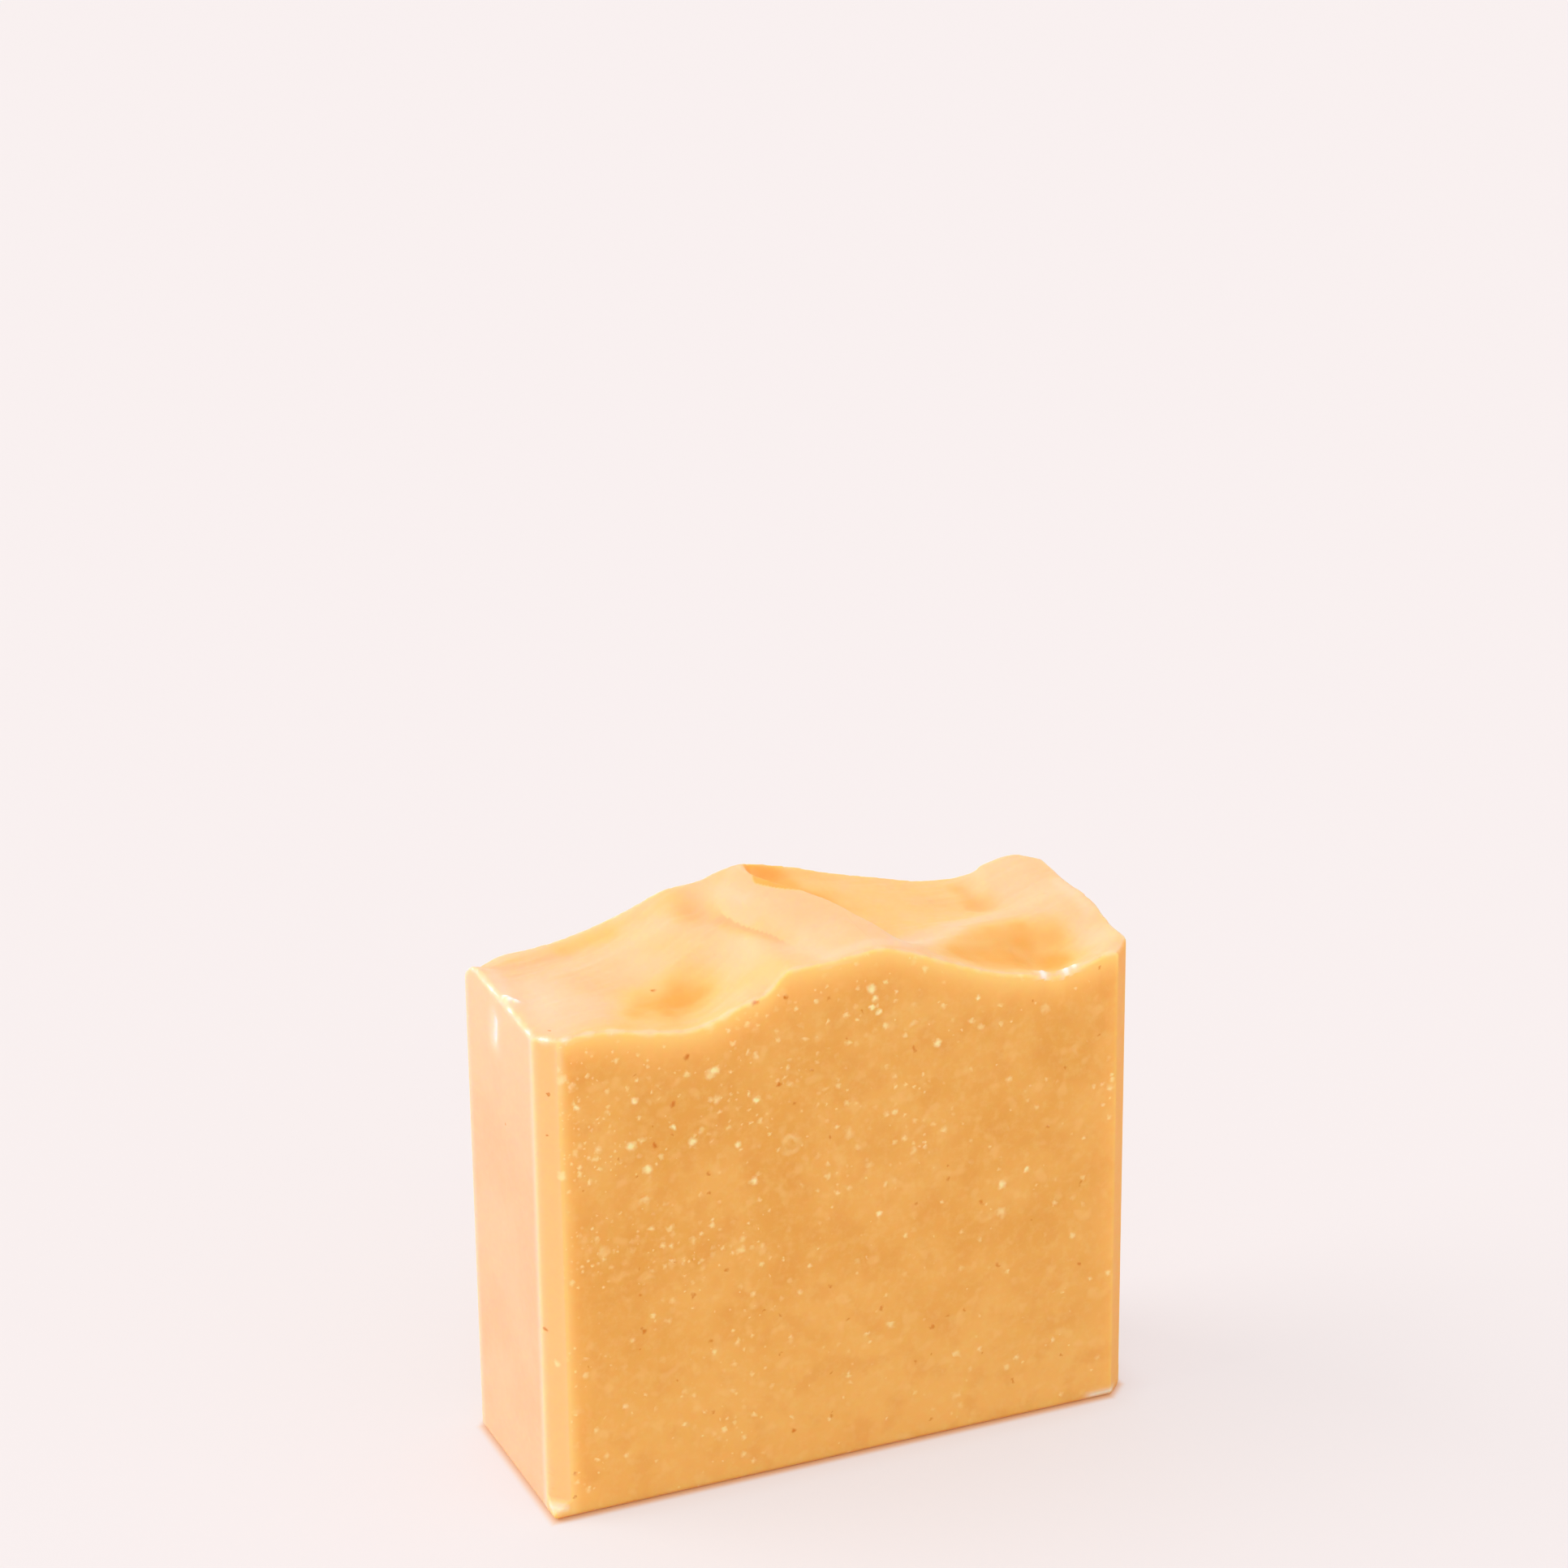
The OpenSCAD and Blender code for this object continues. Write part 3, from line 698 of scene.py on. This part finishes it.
def relief(bar):
    """Crease, foot of the fold, spoon streaks, nicks in the edges, crumbs and the scratch."""
    drop, inset = edge_distances(bar)[:2]
    places = places_of(bar)
    x, y, z = places.T
    shake = 0.15 * MM * ripple(x, y, 2.5 * MM, seed=3)
    on_top = ease(0.25 * MM, 0.9 * MM, inset)
    crease, share = beside(smooth_line(CREASE), x, y)
    lip, groove = bell(crease - 1 * MM, 0.8 * MM), bell(crease + shake, 0.6 * MM)
    rise = along_crease(share, 0.7) * (CREASE_LIP * lip - CREASE_DEPTH * groove)
    fold, share = beside(smooth_line(FOLD), x, y)
    lip, groove = bell(fold, 0.5 * MM), bell(fold - 0.9 * MM + shake, 0.4 * MM)
    rise += ease(0.1, 0.35, share) * (FOLD_LIP * lip - FOLD_DEPTH * groove)

    # Streaks of the spoon: long along the stroke at the left, shorter and turned at the right.
    left_streaks = ripple(0.12 * x + 0.05 * y, y - 0.25 * x, 1.8 * MM, seed=5)
    left_streaks *= 1 - ease(-12 * MM, -4 * MM, x)
    right_streaks = ripple(0.15 * x, y - 0.3 * x, 1.6 * MM, seed=7) * ease(8 * MM, 14 * MM, x)
    rise += STREAK_HEIGHT * (left_streaks + right_streaks) + RIPPLE_HEIGHT * ripple(x, y, 1.2 * MM, seed=9)
    for cx, cy, radius in np.array(CRUMBS) * MM:
        rise += 0.4 * radius * bell(np.hypot(x - cx, y - cy), 0.7 * radius) / np.maximum(on_top, 0.2)
    places[:, 2] += rise * on_top * (drop < 1.2 * MM)

    # Nicks along the top's edges.
    nicks = np.maximum(ripple(x, y, 3 * MM, seed=11) + 0.6 * ripple(x, y, 1 * MM, seed=13) - 0.5, 0)
    nicks *= 1 - 0.8 * ease(15 * MM, 22 * MM, x) * (y > 0)
    worn = NICK_DEPTH * nicks * bell(np.hypot(drop, inset), 0.5 * MM)
    places[:, 0] -= np.sign(x) * worn
    places[:, 1] -= np.sign(y) * worn
    places[:, 2] -= worn

    # Scratch on the left end.
    scratch = beside(np.array(SCRATCH) * MM, y, z)[0]
    on_end = x < -HALF_LENGTH + 0.3 * MM
    places[:, 0] += np.where(on_end, SCRATCH_DEPTH * bell(scratch, 0.7 * MM), 0)
    put_places(bar, places)


def store(bar, name, values):
    """Keep one number for each point of the mesh, for the material."""
    layer = bar.data.attributes.new(name, "FLOAT", "POINT")
    layer.data.foreach_set("value", np.clip(values, 0, 1).astype(np.float32))


def strokes(x, y, table):
    """Soft strokes in plan, laid over each other."""
    total = np.zeros(len(x))
    for start, stop, reach, strength in table:
        stroke = strength * bell(beside(np.array([start, stop]) * MM, x, y)[0], reach * MM)
        total = np.maximum(total, stroke) + 0.3 * np.minimum(total, stroke)
    return total


def worn_highlights_and_glow(bar):
    """Where the soap is pale, from worn crumbs and the scratch and from painted highlights, and where light
    glows through its upper edge, from 0 to 1.
    """
    drop, inset, by_cut = edge_distances(bar)[:3]
    x, y, z = places_of(bar).T
    edge = np.hypot(drop, inset)
    # Painted highlight along the upper rim.
    uneven = 0.7 + 0.35 * ripple(x, y, 2.5 * MM, seed=17)
    rim_places, strengths = np.array(RIM_HIGHLIGHT_STRENGTH).T
    strength = np.interp(x, rim_places * MM, strengths)
    rim = strength * bell(edge, 0.55 * MM * np.clip(uneven, 0.5, 1.2))
    # Painted highlights along the upright edges at the left.
    by_line = np.hypot(HALF_LENGTH - np.abs(x), np.abs(y) - (HALF_THICKNESS - PLANED_BEVEL - 0.4 * MM))
    lines = 0.42 * bell(by_line, 0.75 * MM) * (x < 0)
    lines += 0.3 * bell(by_cut, 0.55 * MM) * (1 - 0.7 * ease(2 * MM, 12 * MM, drop)) * (x < 0)
    crumbs = np.zeros(len(x))
    for cx, cy, radius in np.array(CRUMBS) * MM:
        crumbs = np.maximum(crumbs, 0.85 * bell(np.hypot(x - cx, y - cy), radius) * (drop < 0.9 * MM))
    scratch = 0.8 * bell(beside(np.array(SCRATCH) * MM, y, z)[0], 1.5 * MM)
    scratch *= x < -HALF_LENGTH + 0.5 * MM
    # Painted highlights on the top's ridges and lit slopes, and on each foot's upper facet.
    pale = 0.3 * strokes(x, y, HIGHLIGHT_STROKES) * (drop < 1.0 * MM)
    beyond = np.abs(x) + np.abs(y) - BEVEL_LINE
    foot = 0.66 * ease(0.1 * MM, 0.9 * MM, beyond) * bell(z - 1.7 * MM, 0.6 * MM)
    # Painted highlight low on the front right corner.
    by_base_highlight = beside(np.array(BASE_HIGHLIGHT) * MM, x, y)[0]
    base_highlight = 0.7 * bell(by_base_highlight, 1 * MM) * bell(z - BASE_HIGHLIGHT_HEIGHT * MM, 0.5 * MM)
    store(bar, "pale", np.maximum.reduce([rim, lines, crumbs, scratch, pale, foot, base_highlight]))
    beside_bevel = np.where(x < 0, 0.8, 0.4) * bell(by_cut, 1.6 * MM)
    store(bar, "glow", np.maximum(bell(edge, 3.8 * MM), beside_bevel))


def top_and_painted_shade(bar):
    """Where the top is, where painted shade deepens its colour and where it has a little painted shade, from 0
    to 1.
    """
    drop, inset = edge_distances(bar)[:2]
    x, y, z = places_of(bar).T
    on_top = drop < 1.0 * MM
    store(bar, "top", on_top.astype(float))

    # Painted shade: the ground behind the fold is deeper in colour, most beside the fold.
    fold = beside(smooth_line(FOLD), x, y)[0]
    onto_fold = 1.8 * MM * ease(3 * MM, 6.5 * MM, y) * (1 - ease(7.5 * MM, 11 * MM, y))
    behind = ease(0.2 * MM, 0.7 * MM, fold + onto_fold)
    deep = 0.75 * bell(np.maximum(fold - 1.5 * MM, 0), 4 * MM) * ease(-3 * MM, 8 * MM, y)
    past_ridge = y - np.interp(x, *(np.array(RIDGE) * MM).T)
    ground = 0.45 * ease(1.5 * MM, 5 * MM, past_ridge) * (1 - ease(25 * MM, 33 * MM, x))
    mottled = 1 + 0.15 * ripple(x, y, 5 * MM, seed=19)
    warm_shade = np.maximum(strokes(x, y, WARM_SHADE_STROKES), behind * (deep + ground)) * mottled
    # Painted shade in a warm band along the crease, below the tongue's lower edge.
    crease, share = beside(smooth_line(CREASE), x, y)
    across = 0.1 * bell(crease, 0.5 * MM) + 0.45 * bell(crease + 0.5 * MM, 1.2 * MM)
    line = along_crease(share, 0.5) * across
    store(bar, "warm_shade", np.maximum(warm_shade, line) * on_top * ease(0, 0.5 * MM, inset))
    left_of_tongue = (crease < 0.4 * MM) | (x > 10 * MM)
    store(bar, "shade", 0.8 * strokes(x, y, SHADE_STROKES) * on_top * left_of_tongue)


def pale_board():
    """Plain pale surface that the bar stands on, with painted shade and painted light bounced from the soap
    close to it.
    """
    bpy.ops.object.select_all(action="DESELECT")
    bpy.ops.mesh.primitive_plane_add(size=8, location=(0, 0, 0))
    board = bpy.context.object
    board.name = "pale_board"
    material = bpy.data.materials.new("pale_board")
    material.use_nodes = True
    skin = material.node_tree.nodes["Principled BSDF"]
    skin.inputs["Roughness"].default_value = 0.75
    skin.inputs["Specular IOR Level"].default_value = 0.2
    w = Wiring(material.node_tree)
    place = w.node("ShaderNodeTexCoord").outputs["Object"]
    split = w.node("ShaderNodeSeparateXYZ", Vector=place).outputs
    past_end = w.math("SUBTRACT", w.math("ABSOLUTE", split["X"]), HALF_LENGTH)
    past_cut = w.math("SUBTRACT", w.math("ABSOLUTE", split["Y"]), HALF_THICKNESS)
    corner = w.math("MAXIMUM", w.math("ADD", split["X"], split["Y"]),
                    w.math("ABSOLUTE", w.math("SUBTRACT", split["X"], split["Y"])))
    past_bevel = w.math("MULTIPLY", w.math("SUBTRACT", corner, BEVEL_LINE), math.sqrt(0.5))
    away = w.math("MAXIMUM", w.math("MAXIMUM", past_end, past_cut), past_bevel)
    # Painted orange light bounced from the soap, on the board close to the bar.
    board_colour = w.mix(w.ramp(away, 0.0, 0.8 * MM, 0.5, 0.0), srgb(BOARD_LIT), srgb(BOARD_LIT_PAINTED_BOUNCE))
    # Painted shade and bounced light, seen close to the bar, paler by the left end.
    by_left_end = w.ramp(split["X"], -HALF_LENGTH - 0.5 * MM, -HALF_LENGTH + 1 * MM, 1.0, 0.0)
    contact_colour = w.mix(by_left_end, srgb(BOARD_SEEN_PAINTED_SHADE), srgb(BOARD_SEEN_PAINTED_SHADE_LEFT))
    pale_colour = w.mix(w.ramp(away, -0.4 * MM, 1.1 * MM), contact_colour, srgb(BOARD_SEEN))
    pale = w.node("ShaderNodeEmission", Color=pale_colour, Strength=1.0)
    w.feed(skin.inputs["Base Color"], board_colour)
    light = w.node("ShaderNodeLightPath").outputs
    seen = w.math("MAXIMUM", light["Is Camera Ray"], light["Is Glossy Ray"])
    further = w.ramp(away, 0.0, 5 * MM, 0.48, 0.63)
    shown = w.math("MAXIMUM", further, w.math("MULTIPLY", by_left_end, 0.6))
    seen = w.math("MULTIPLY", seen, shown)
    both = w.node("ShaderNodeMixShader")
    w.feed(both.inputs[0], seen)
    w.feed(both.inputs[1], skin.outputs["BSDF"])
    w.feed(both.inputs[2], pale.outputs["Emission"])
    w.feed(material.node_tree.nodes["Material Output"].inputs["Surface"], both.outputs[0])
    board.data.materials.append(material)


def soft_light():
    """Even room light, with a large window high up at the left and behind."""
    world = bpy.data.worlds.new("room")
    bpy.context.scene.world = world
    world.use_nodes = True
    back = world.node_tree.nodes["Background"]
    back.inputs["Color"].default_value = (*srgb(ROOM_COLOUR), 1)
    back.inputs["Strength"].default_value = ROOM_STRENGTH
    data = bpy.data.lights.new("window", "SUN")
    data.energy = WINDOW_STRENGTH * math.pi
    data.angle = math.radians(50)
    data.color = WINDOW_COLOUR
    window = bpy.data.objects.new("window", data)
    window.rotation_euler = Vector((0.75, -0.35, -0.6)).to_track_quat("-Z", "Y").to_euler()
    bpy.context.scene.collection.objects.link(window)
    fill_data = bpy.data.lights.new("fill", "SUN")
    fill_data.energy = FILL_STRENGTH * math.pi
    fill_data.angle = math.radians(100)
    fill = bpy.data.objects.new("fill", fill_data)
    fill.rotation_euler = Vector((-0.1, 0.8, -0.5)).to_track_quat("-Z", "Y").to_euler()
    bpy.context.scene.collection.objects.link(fill)


photo_camera()
soft_light()
pale_board()
bar = swirled_bar()
worn_highlights_and_glow(bar)
top_and_painted_shade(bar)
bar.data.materials.append(soap_material(specks_group()))
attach(bar, "root")
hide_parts("soap_bar")
bpy.context.scene.view_settings.view_transform = "Standard"
